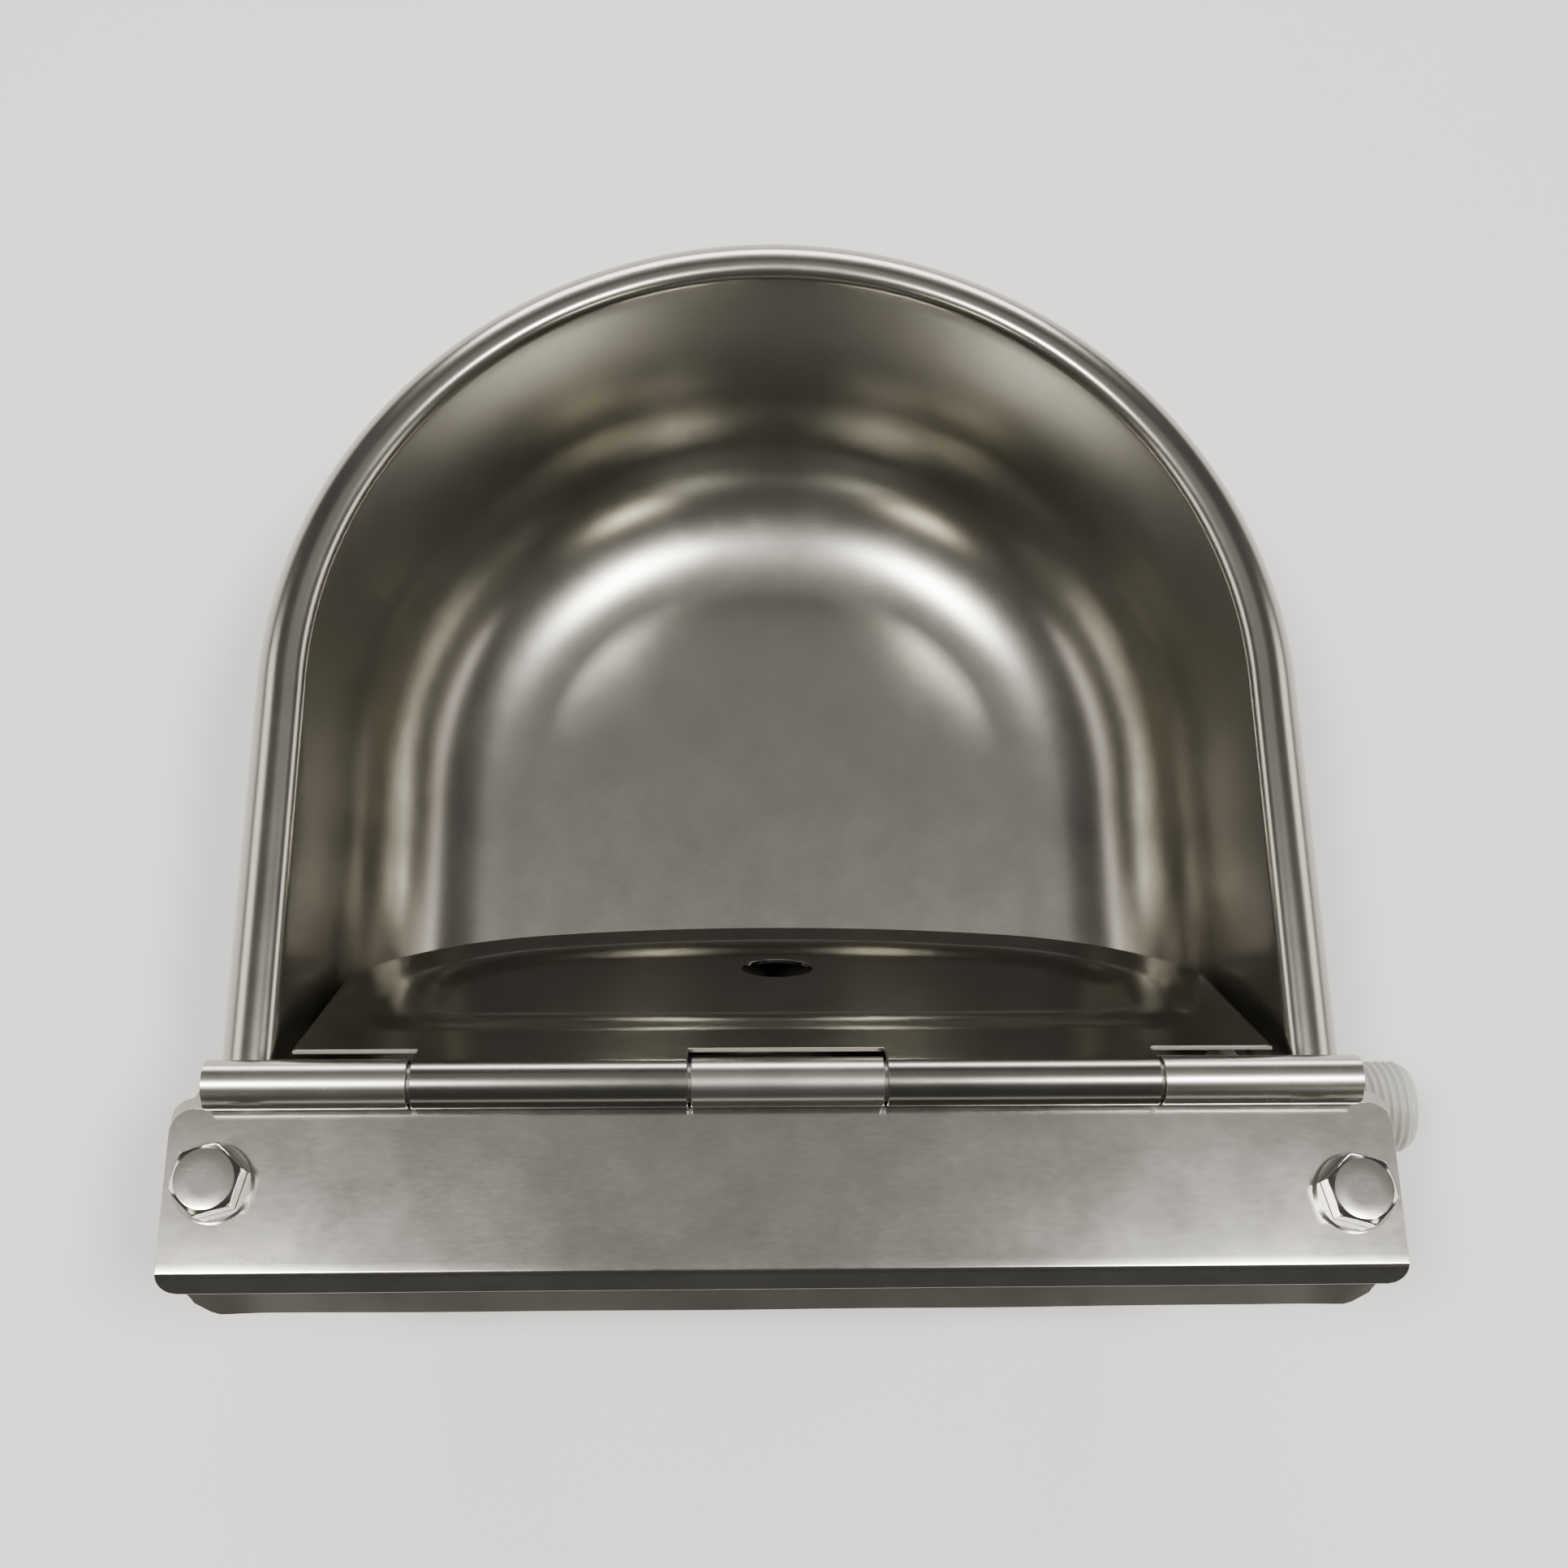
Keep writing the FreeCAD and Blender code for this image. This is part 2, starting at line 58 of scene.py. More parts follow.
BEAD_HEIGHT, BEAD_FLANK = 1.25, 0.42
BOLTS = [(-115.2, -111.3, 15.0), (115.2, -114.8, 45.0)]      # x, y, turn of the hexagon
HEAD_AF, HEAD_STRETCH, WASHER_H = 12.94, 5.3 / 4.92, 1.6
BOLT_NECK_R, BOLT_NECK_Z = 3.85, 87.0
VALVE_Y, VALVE_Z, WALL_HOLE_R, OUTLET_R = -90.0, 55.0, 10.75, 2.2
ROUND = 72              # steps round a turned part
NEAR = 1e-4


def smooth(t):
    t = max(0.0, min(1.0, t))
    return t * t * (3 - 2 * t)


def mix(a, b, t):
    return a + (b - a) * t


def span(a, b, n):
    return [a + (b - a) * i / n for i in range(n + 1)]


# ---------------------------------------------------------------- materials
def new_material(name):
    """A new material with its node tree and shader."""
    mat = bpy.data.materials.new(name)
    mat.use_nodes = True
    nt = mat.node_tree
    bsdf = nt.nodes["Principled BSDF"]
    return mat, nt, bsdf


def node(nt, kind, **values):
    """Add a node; values are its attributes or its inputs."""
    n = nt.nodes.new(kind)
    for key, value in values.items():
        if hasattr(n, key):
            setattr(n, key, value)
        else:
            n.inputs[key.replace("_", " ")].default_value = value
    return n


def ramp(nt, source, stops):
    """Colour ramp with (position, colour) stops."""
    r = nt.nodes.new("ShaderNodeValToRGB")
    for e, (pos, col) in zip(r.color_ramp.elements, stops):
        e.position = pos
        e.color = (*col, 1.0)
    nt.links.new(source, r.inputs["Fac"])
    return r


def shades(colour, spread):
    """A darker and a lighter version of a colour."""
    return [c * (1 - spread) for c in colour], [min(1.0, c * (1 + spread)) for c in colour]


def steel(name, tint, rough, wave, scratch, grain=(1.0, 1.0, 1.0), grain_bump=0.2, mottle=0.06,
          curled=None):
    """Bare metal: rolled grain, slow waviness, faint smudges and fine scratches."""
    mat, nt, bsdf = new_material(name)
    link = nt.links.new
    bsdf.inputs["Metallic"].default_value = 1.0
    co = node(nt, "ShaderNodeTexCoord")
    stretch = node(nt, "ShaderNodeMapping")
    stretch.inputs["Scale"].default_value = grain
    link(co.outputs["Object"], stretch.inputs["Vector"])
    fine = node(nt, "ShaderNodeTexNoise", Scale=1400.0, Detail=3.0, Roughness=0.6)
    link(stretch.outputs["Vector"], fine.inputs["Vector"])
    slow = node(nt, "ShaderNodeTexNoise", Scale=22.0, Detail=2.0, Roughness=0.5)
    link(co.outputs["Object"], slow.inputs["Vector"])
    smudge = node(nt, "ShaderNodeTexNoise", Scale=60.0, Detail=5.0, Roughness=0.65)
    link(co.outputs["Object"], smudge.inputs["Vector"])

    dark, light = shades(tint, mottle)
    colour = ramp(nt, smudge.outputs["Fac"], [(0.25, dark), (0.75, light)])
    link(colour.outputs["Color"], bsdf.inputs["Base Color"])

    # roughness: base, plus smudges, plus the fine grain
    smudged = node(nt, "ShaderNodeMapRange")
    smudged.inputs["From Min"].default_value = 0.3
    smudged.inputs["From Max"].default_value = 0.7
    smudged.inputs["To Min"].default_value = rough - 0.015
    smudged.inputs["To Max"].default_value = rough + 0.015
    link(smudge.outputs["Fac"], smudged.inputs["Value"])
    grained = node(nt, "ShaderNodeMapRange")
    grained.inputs["To Min"].default_value = -0.02
    grained.inputs["To Max"].default_value = 0.02
    link(fine.outputs["Fac"], grained.inputs["Value"])
    add = node(nt, "ShaderNodeMath", operation="ADD")
    link(smudged.outputs["Result"], add.inputs[0])
    link(grained.outputs["Result"], add.inputs[1])
    if curled:
        # the curled barrels keep the duller skin of the bent sheet
        xyz = node(nt, "ShaderNodeSeparateXYZ")
        link(co.outputs["Object"], xyz.inputs["Vector"])
        rise = node(nt, "ShaderNodeMapRange")
        rise.inputs["From Min"].default_value = (PLATE_TOP + 0.2) * MM
        rise.inputs["From Max"].default_value = (PLATE_TOP + 1.2) * MM
        rise.inputs["To Max"].default_value = curled - rough
        link(xyz.outputs["Z"], rise.inputs["Value"])
        plus = node(nt, "ShaderNodeMath", operation="ADD")
        link(add.outputs["Value"], plus.inputs[0])
        link(rise.outputs["Result"], plus.inputs[1])
        add = plus
    link(add.outputs["Value"], bsdf.inputs["Roughness"])

    # scratches: thin lines out of a stretched cell texture
    turn = node(nt, "ShaderNodeMapping")
    turn.inputs["Rotation"].default_value = (0.3, 0.2, 0.6)
    turn.inputs["Scale"].default_value = (14.0, 160.0, 60.0)
    link(co.outputs["Object"], turn.inputs["Vector"])
    cell = node(nt, "ShaderNodeTexVoronoi", feature="DISTANCE_TO_EDGE", Scale=1.0)
    link(turn.outputs["Vector"], cell.inputs["Vector"])
    line = ramp(nt, cell.outputs["Distance"], [(0.0, (1, 1, 1)), (0.012, (0, 0, 0))])
    gate = ramp(nt, smudge.outputs["Fac"], [(0.55, (0, 0, 0)), (0.7, (1, 1, 1))])
    both = node(nt, "ShaderNodeMath", operation="MULTIPLY")
    link(line.outputs["Color"], both.inputs[0])
    link(gate.outputs["Color"], both.inputs[1])

    wavy = node(nt, "ShaderNodeBump", Strength=wave, Distance=0.004)
    link(slow.outputs["Fac"], wavy.inputs["Height"])
    grainy = node(nt, "ShaderNodeBump", Strength=grain_bump, Distance=0.00001)
    link(fine.outputs["Fac"], grainy.inputs["Height"])
    link(wavy.outputs["Normal"], grainy.inputs["Normal"])
    scratched = node(nt, "ShaderNodeBump", Strength=scratch, Distance=0.00002)
    scratched.invert = True
    link(both.outputs["Value"], scratched.inputs["Height"])
    link(grainy.outputs["Normal"], scratched.inputs["Normal"])
    link(scratched.outputs["Normal"], bsdf.inputs["Normal"])
    return mat


def plastic(name, colour, rough, translucent=0.0, speck=0.03):
    """Moulded plastic, rubber or foam with a faintly cloudy colour and a fine skin."""
    mat, nt, bsdf = new_material(name)
    link = nt.links.new
    co = node(nt, "ShaderNodeTexCoord")
    cloud = node(nt, "ShaderNodeTexNoise", Scale=90.0, Detail=4.0, Roughness=0.6)
    skin = node(nt, "ShaderNodeTexNoise", Scale=900.0, Detail=2.0, Roughness=0.6)
    link(co.outputs["Object"], cloud.inputs["Vector"])
    link(co.outputs["Object"], skin.inputs["Vector"])
    dark, light = shades(colour, speck)
    tone = ramp(nt, cloud.outputs["Fac"], [(0.3, dark), (0.7, light)])
    link(tone.outputs["Color"], bsdf.inputs["Base Color"])
    dull = node(nt, "ShaderNodeMapRange")
    dull.inputs["To Min"].default_value = rough - 0.06
    dull.inputs["To Max"].default_value = rough + 0.06
    link(skin.outputs["Fac"], dull.inputs["Value"])
    link(dull.outputs["Result"], bsdf.inputs["Roughness"])
    bump = node(nt, "ShaderNodeBump", Strength=0.25, Distance=0.00008)
    link(skin.outputs["Fac"], bump.inputs["Height"])
    link(bump.outputs["Normal"], bsdf.inputs["Normal"])
    if translucent:
        bsdf.inputs["Subsurface Weight"].default_value = translucent
        bsdf.inputs["Subsurface Radius"].default_value = (0.006, 0.006, 0.005)
        bsdf.inputs["Subsurface Scale"].default_value = 1.0
    return mat


M_BOWL = steel("steel_bowl", (0.385, 0.376, 0.342), 0.23, wave=0.04, scratch=0.01,
               grain_bump=0.08, mottle=0.02)
M_PLATE = steel("steel_plate", (0.42, 0.412, 0.382), 0.155, wave=0.012, scratch=0.05,
                grain=(0.3, 1, 1), grain_bump=0.02, mottle=0.02, curled=0.26)
# painted shade: the flap is the same steel as the bowl, given a darker tint for the shade it hangs
# in
M_FLAP_PAINTED_SHADE = steel("steel_flap_painted_shade", (0.25, 0.244, 0.222), 0.22, wave=0.01, scratch=0.06,
               grain=(0.3, 1, 1), grain_bump=0.01, mottle=0.02)
M_BRIGHT = steel("steel_bright", (0.46, 0.45, 0.42), 0.13, wave=0.03, scratch=0.2,
                 grain_bump=0.04, mottle=0.08)
# the hinge pin is a real part; its near-black tint is painted shade for the gaps between the
# knuckles
M_PIN_PAINTED_SHADE = steel("steel_pin_painted_shade", (0.16, 0.155, 0.145), 0.45, wave=0.0, scratch=0.1)
M_BRASS = steel("brass", (0.72, 0.53, 0.25), 0.26, wave=0.02, scratch=0.4, mottle=0.1)
M_WHITE = plastic("plastic_white", (0.44, 0.44, 0.415), 0.34, translucent=0.35)
M_PISTON = plastic("plastic_piston", (0.84, 0.84, 0.82), 0.42)
M_RUBBER = plastic("rubber_black", (0.025, 0.025, 0.026), 0.62, speck=0.2)
M_FOAM = plastic("foam_grey", (0.13, 0.13, 0.14), 0.75, speck=0.25)


# ---------------------------------------------------------------- mesh tools
def finish_mesh(name, bm, mat, body, cad_node, bevel=0.0, sharp=38.0):
    """Turn a bmesh in millimetres into a piece that stands for a CAD node."""
    for f in bm.faces:
        f.smooth = True
    bm.normal_update()
    limit = math.radians(sharp)
    for e in bm.edges:
        if len(e.link_faces) == 2 and e.calc_face_angle(0.0) > limit:
            e.smooth = False
    bmesh.ops.scale(bm, vec=(MM, MM, MM), verts=bm.verts)
    mesh = bpy.data.meshes.new(name)
    bm.to_mesh(mesh)
    bm.free()
    mesh.materials.append(mat)
    obj = bpy.data.objects.new(name, mesh)
    bpy.context.scene.collection.objects.link(obj)
    if bevel:
        m = obj.modifiers.new("edge", "BEVEL")
        m.width = bevel * MM
        m.segments = 2
        m.limit_method = "ANGLE"
        m.angle_limit = math.radians(50)
    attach(obj, body)
    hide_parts(cad_node)
    return obj


def thicken(bm, t):
    """Give the sheet its thickness on the side away from its normals."""
    bm.normal_update()
    old = list(bm.verts)
    faces = list(bm.faces)
    rim = [e for e in bm.edges if len(e.link_faces) == 1]
    twin = {}
    for v in old:
        twin[v] = bm.verts.new(v.co - v.normal * t * v.calc_shell_factor())
    for f in faces:
        bm.faces.new([twin[v] for v in reversed(f.verts)])
    for e in rim:
        loop = e.link_loops[0]
        a, b = loop.vert, loop.link_loop_next.vert
        bm.faces.new([b, a, twin[a], twin[b]])


def grid_faces(bm, rows, closed=False):
    """Quads between equal rows of vertices."""
    for r0, r1 in zip(rows[:-1], rows[1:]):
        n = len(r0)
        for i in range(n if closed else n - 1):
            j = (i + 1) % n
            bm.faces.new([r0[i], r0[j], r1[j], r1[i]])


def look_towards(bm, near, way):
    """Flip the sheet if the face nearest a point looks the wrong way."""
    bm.normal_update()
    bm.faces.ensure_lookup_table()
    face = min(bm.faces, key=lambda f: (f.calc_center_median() - Vector(near)).length)
    if face.normal.dot(Vector(way)) < 0:
        bmesh.ops.reverse_faces(bm, faces=bm.faces)


def ring(bm, place, a, radius):
    """Vertices round an axis at station a; radius is a function of the angle."""
    row = []
    for i in range(ROUND):
        ang = 2 * math.pi * i / ROUND
        r = radius(ang)
        row.append(bm.verts.new(place(a, r * math.cos(ang), r * math.sin(ang))))
    return row


def lathe(bm, profile, place):
    """Rows of a body of revolution from (distance along axis, radius) pairs."""
    rows = [ring(bm, place, a, lambda ang, r=r: r) for a, r in profile]
    grid_faces(bm, rows, closed=True)
    return rows


def cut_away(obj, cut):
    """Take a bmesh in millimetres out of a finished piece."""
    bmesh.ops.scale(cut, vec=(MM, MM, MM), verts=cut.verts)
    cutter_mesh = bpy.data.meshes.new("cutter")
    cut.to_mesh(cutter_mesh)
    cut.free()
    cutter = bpy.data.objects.new("cutter", cutter_mesh)
    bpy.context.scene.collection.objects.link(cutter)
    m = obj.modifiers.new("cut", "BOOLEAN")
    m.operation, m.solver, m.object = "DIFFERENCE", "EXACT", cutter
    deps = bpy.context.evaluated_depsgraph_get()
    done = bpy.data.meshes.new_from_object(obj.evaluated_get(deps))
    obj.modifiers.clear()
    obj.data = done
    bpy.data.objects.remove(cutter)


# ---------------------------------------------------------------- bowl
def fold(y0, z0):
    """Section of a 45 degree fold down towards the rear."""
    turns = [math.radians(a) for a in span(0, 45, 6)]
    return [(y0 - FOLD_R * math.sin(a), z0 - FOLD_R * (1 - math.cos(a))) for a in turns]


def bowl_stations():
    """Places round the bowl: (kind, value), anticlockwise from the right end of the front."""
    out = [("front", a) for a in span(0, 180, 144)]
    side = span(0, 0.78, 30) + span(0.785, 0.955, 64) + span(0.965, 1.0, 4)
    out += [("left", t) for t in side[1:]]
    out += [("cleft", a) for a in span(0, 90, 30)[1:]]
    out += [("rear", t) for t in span(-1, 1, 60)[1:]]
    out += [("cright", a) for a in span(90, 0, 30)[1:]]
    out += [("right", t) for t in list(reversed(side))[1:-1]]
    return out


def bowl_point(kind, v, d):
    """Point at offset d outside the inner wall (negative: inside)."""
    inset = min(d, 0.0)
    half, rear = BOWL_R + d, BOWL_REAR - inset
    straight = -(rear + BOWL_CORNER)
    cx, cy = BOWL_R - BOWL_CORNER + inset, rear + BOWL_CORNER
    r = BOWL_CORNER + max(d, 0.0)
    a = math.radians(v) if kind in ("front", "cleft", "cright") else 0.0
    if kind == "front":
        return half * math.cos(a), half * math.sin(a)
    if kind in ("left", "right"):
        return (-half if kind == "left" else half), -v * straight
    if kind == "rear":
        return v * cx, BOWL_REAR - d
    x, y = cx + r * math.cos(a), cy - r * math.sin(a)
    return (-x, y) if kind == "cleft" else (x, y)


def ear_outline(kind, v):
    """Outer edge of the flat flange opposite a station."""
    if kind in ("left", "right"):
        y = bowl_point(kind, v, 0)[1]
        corner_x, corner_y = EAR_X - EAR_CORNER, EAR_FRONT - EAR_CORNER
        if y > EAR_FRONT:
            x = LIP_OUT + (corner_x - LIP_OUT) * smooth((EAR_START - y) / (EAR_START - EAR_FRONT))
        elif y > corner_y:
            x = corner_x + math.sqrt(max(0.0, EAR_CORNER ** 2 - (y - corner_y) ** 2))
        else:
            x = EAR_X
        return (-x if kind == "left" else x), y
    if kind == "rear":
        return v * (BOWL_R - BOWL_CORNER), FLANGE_REAR
    s = -1 if kind == "cleft" else 1
    if v <= 45:
        return s * EAR_X, mix(BOWL_REAR + BOWL_CORNER, FLANGE_REAR, v / 45)
    return s * mix(EAR_X, BOWL_R - BOWL_CORNER, (v - 45) / 45), FLANGE_REAR


def skirt_wave(x):
    """The rear skirt isn't quite straight: it bellies out in the middle."""
    k = abs(x) / EAR_X
    return 0.55 * (1 - k * k) - 0.5 + 0.5 * smooth((k - 0.84) / 0.12) - 0.08 * math.sin(x * 0.11)


def build_bowl():
    bm = bmesh.new()
    st = bowl_stations()
    rows = []
    # floor, from the middle out
    for k in span(0.04, 0.965, 16):
        row = []
        for kind, v in st:
            x, y = bowl_point(kind, v, -BOTTOM_R)
            row.append(bm.verts.new((x * k, FLOOR_MID_Y + (y - FLOOR_MID_Y) * k, SHEET)))
        rows.append(row)
    # bottom radius and wall
    for a in span(0, 90, 30):
        a = math.radians(a)
        d, z = -BOTTOM_R * (1 - math.sin(a)), SHEET + BOTTOM_R * (1 - math.cos(a))
        rows.append([bm.verts.new(bowl_point(k, v, d) + (z,)) for k, v in st])
    z_wall = TOP - LIP_BEND
    for z in span(SHEET + BOTTOM_R, z_wall, 12)[1:]:
        rows.append([bm.verts.new(bowl_point(k, v, 0) + (z,)) for k, v in st])
    # lip that turns into the flat ears
    # both sections have the same rows: an ear row is (offset, z) or a share of the way out
    lip, ear = [], []
    for i in range(1, 9):
        a = math.radians(90.0 * i / 8)
        lip.append((LIP_BEND * (1 - math.cos(a)), z_wall + LIP_BEND * math.sin(a)))
        if i <= 3:
            ear.append((0.0, z_wall + (LIP_BEND - EAR_BEND) * i / 3))
        else:
            b = math.radians(90.0 * (i - 3) / 5)
            ear.append((EAR_BEND * (1 - math.cos(b)), TOP - EAR_BEND + EAR_BEND * math.sin(b)))
    for i in range(1, 19):
        a = math.radians(90.0 * i / 18)
        lip.append((LIP_BEND + LIP_ROLL * math.sin(a), TOP - LIP_ROLL * (1 - math.cos(a))))
        ear.append(i / 20.0)
    for i in range(1, 3):
        lip.append((LIP_BEND + LIP_ROLL, TOP - LIP_ROLL - LIP_DROP * i / 2))
        ear.append((18 + i) / 20.0)
    for (ld, lz), e in zip(lip, ear):
        row = []
        for kind, v in st:
            y0 = bowl_point(kind, v, 0)[1]
            flat = 0.0 if kind == "front" else smooth((LIP_FADE_Y - y0) / LIP_FADE)
            px, py = bowl_point(kind, v, ld)
            if isinstance(e, tuple):
                qx, qy = bowl_point(kind, v, e[0])
                qz = e[1]
            else:
                ax, ay = bowl_point(kind, v, EAR_BEND)
                bx, by = ear_outline(kind, v)
                qx, qy, qz = mix(ax, bx, e), mix(ay, by, e), TOP
            row.append(bm.verts.new((mix(px, qx, flat), mix(py, qy, flat), mix(lz, qz, flat))))
        rows.append(row)
    grid_faces(bm, rows, closed=True)
    bm.faces.new(list(reversed(rows[0])))

    # rear skirt, from the bend down
    cols = [i for i, (kind, v) in enumerate(st)
            if kind == "rear" or (kind in ("cleft", "cright") and v >= 45)]
    cols.sort(key=lambda i: rows[-1][i].co.x)
    skirt = [[rows[-1][i] for i in cols]]
    path = fold(FLANGE_REAR, TOP)[1:]
    y1, z1 = path[-1]
    path += [(y1 - q, z1 - q) for q in span(0, SKIRT_RUN, 12)[1:]]
    for n, (y, z) in enumerate(path, 1):
        w = n / len(path)
        row = []
        for i in cols:
            x = rows[-1][i].co.x
            k = max(0.0, (abs(x) - 95.0) / 30.0)
            taper = SKIRT_TAPER * w * k ** 1.5
            up = 2.2 * max(0.0, k - 0.8) / 0.2 * smooth((w - 0.6) / 0.4)
            drop = skirt_wave(x) * w
            row.append(bm.verts.new((x - math.copysign(taper, x), y + up - drop * 0.6,
                                     z + up + drop)))
        skirt.append(row)
    grid_faces(bm, skirt)
    bmesh.ops.recalc_face_normals(bm, faces=bm.faces)
    look_towards(bm, (0, FLOOR_MID_Y, SHEET), (0, 0, 1))
    thicken(bm, SHEET)
    obj = finish_mesh("bowl_shell", bm, M_BOWL, "shell", "bowl", bevel=0.12)
    # the wall hole that the water inlet passes through
    cut = bmesh.new()
    at = Matrix.Translation((BOWL_R + SHEET / 2, VALVE_Y, VALVE_Z))
    bmesh.ops.create_cone(cut, cap_ends=True, segments=64, radius1=WALL_HOLE_R,
                          radius2=WALL_HOLE_R, depth=8 * SHEET,
                          matrix=at @ Matrix.Rotation(math.pi / 2, 4, "Y"))
    cut_away(obj, cut)


# ---------------------------------------------------------------- cover plate
def curl_path(start, y0, z0):
    """Section of a knuckle: the sheet's inner face rolled round the pin."""
    r = BARREL_R - SHEET
    turns = [math.radians(a) for a in span(start, start + CURL, 44)[1:]]
    return [(y0 + r * math.cos(a), z0 + r * math.sin(a)) for a in turns]


def columns(marks, spacing):
    """x positions about a spacing apart that include every mark."""
    marks = sorted(set(marks))
    xs = []
    for a, b in zip(marks[:-1], marks[1:]):
        n = max(1, int(round((b - a) / spacing)))
        xs += span(a, b, n)[:-1]
    return xs + [marks[-1]]


def ends(knuckles):
    return [x for pair in knuckles for x in pair]


def sweep(bm, row, x0, x1, section):
    """Carry the part of a row between two x positions along a section."""
    strip = [[v for v in row if x0 - NEAR <= v.co.x <= x1 + NEAR]]
    for y, z in section:
        strip.append([bm.verts.new((v.co.x, y, z)) for v in strip[0]])
    return strip


def rounded_end(radius, from_edge):
    """Half width of the plate where its corner is this far from the edge."""
    return EAR_X - radius + math.sqrt(max(0.0, radius ** 2 - (radius - from_edge) ** 2))


def build_plate():
    bm = bmesh.new()
    xs = columns(ends(PLATE_KNUCKLES + FLAP_KNUCKLES), 2.4)
    side = 5      # columns outside the knuckles at each end
    # section from the foot of the rear lip to the front edge
    bend = list(reversed(fold(PLATE_REAR, PLATE_TOP)))
    y1, z1 = bend[0]
    path = [(y1 - k, z1 - k) for k in span(PLATE_LIP, 0, 9)[:-1]] + bend
    flat = span(PLATE_REAR, -102.0, 16)[1:] + span(-102.0, PLATE_FRONT, 14)[1:]
    path += [(y, PLATE_TOP) for y in flat]
    rows = []
    for y, z in path:
        from_foot = math.hypot(y - path[0][0], z - path[0][1])
        from_front = PLATE_FRONT - y
        x_end = EAR_X
        if from_foot < PLATE_LIP_CORNER:
            x_end = rounded_end(PLATE_LIP_CORNER, from_foot)
        if from_front < PLATE_CORNER:
            x_end = rounded_end(PLATE_CORNER, from_front)
        left = [mix(-x_end, xs[0], t) for t in span(0, 1, side)[:-1]]
        right = [mix(xs[-1], x_end, t) for t in span(0, 1, side)[1:]]
        rows.append([bm.verts.new((x, y, z)) for x in left + xs + right])
    grid_faces(bm, rows)
    section = [(y, PLATE_TOP) for y in span(PLATE_FRONT, HINGE_Y, 4)[1:]]
    section += curl_path(-90, HINGE_Y, HINGE_Z)
    for x0, x1 in PLATE_KNUCKLES:
        grid_faces(bm, sweep(bm, rows[-1][side:-side], x0, x1, section))
    look_towards(bm, (0, -112, PLATE_TOP), (0, 0, 1))
    thicken(bm, SHEET)
    finish_mesh("cover_sheet", bm, M_PLATE, "shell", "cover_plate", bevel=0.14)


# ---------------------------------------------------------------- baffle flap
def arc_through(p, m, q, n):
    """Points on the circle through three points, from p to q."""
    (x1, y1), (x2, y2), (x3, y3) = p, m, q
    d = 2 * (x1 * (y2 - y3) + x2 * (y3 - y1) + x3 * (y1 - y2))
    s1, s2, s3 = x1 * x1 + y1 * y1, x2 * x2 + y2 * y2, x3 * x3 + y3 * y3
    cx = (s1 * (y2 - y3) + s2 * (y3 - y1) + s3 * (y1 - y2)) / d
    cy = (s1 * (x3 - x2) + s2 * (x1 - x3) + s3 * (x2 - x1)) / d
    r = math.hypot(x1 - cx, y1 - cy)
    a = [math.atan2(y - cy, x - cx) for x, y in (p, m, q)]
    for i in (1, 2):
        a[i] -= 2 * math.pi * round((a[i] - a[i - 1]) / (2 * math.pi))
    return [(cx + r * math.cos(t), cy + r * math.sin(t)) for t in span(a[0], a[2], n)]


def bead_outline(t):
    """Edge of the D-shaped bead: its outer foot at t = 0 and its inner foot at t = 1."""
    def m(a, b):
        return mix(a, b, t)
    half, corner, top, side = m(91.5, 74.5), m(12.0, 6.0), m(20.4, 34.6), m(58.0, 55.0)
    mid, end, foot = (m(83.4, 67.5), m(75.7, 68.0)), (m(50.0, 44.0), m(96.0, 81.0)), m(102.8, 85.0)
    k = corner * (1 - math.sqrt(0.5))
    right = [(0, top), (half - corner, top)]
    right += arc_through((half - corner, top), (half - k, top + k), (half, top + corner), 12)[1:]
    right += arc_through((half, side), mid, end, 24)
    right += arc_through(end, (0, foot), (-end[0], end[1]), 60)[1:31]
    return right + [(-x, s) for x, s in reversed(right)][1:-1]


def distance(poly, x, s):
    """Distance from a point to a closed outline."""
    best = 1e9
    for (ax, ay), (bx, by) in zip(poly, poly[1:] + poly[:1]):
        dx, dy = bx - ax, by - ay
        l2 = dx * dx + dy * dy
        t = 0.0 if l2 == 0 else max(0.0, min(1.0, ((x - ax) * dx + (s - ay) * dy) / l2))
        e = (ax + t * dx - x) ** 2 + (ay + t * dy - s) ** 2
        best = min(best, e)
    return math.sqrt(best)


def inside(poly, x, s):
    """Whether a point is inside a closed outline."""
    hit = False
    for (ax, ay), (bx, by) in zip(poly, poly[1:] + poly[:1]):
        if (ay > s) != (by > s) and x < (bx - ax) * (s - ay) / (by - ay) + ax:
            hit = not hit
    return hit


BEAD_OUT, BEAD_IN = bead_outline(0.0), bead_outline(1.0)


def bead_height(x, s):
    """Height of the bead above the flap's flat face."""
    x = abs(x)
    if not inside(BEAD_OUT, x + 1e-5, s) or inside(BEAD_IN, x + 1e-5, s):
        return 0.0
    a, b = distance(BEAD_OUT, x, s), distance(BEAD_IN, x, s)
    t = a / (a + b + 1e-9)
    return BEAD_HEIGHT * smooth(min(t, 1 - t) / BEAD_FLANK)


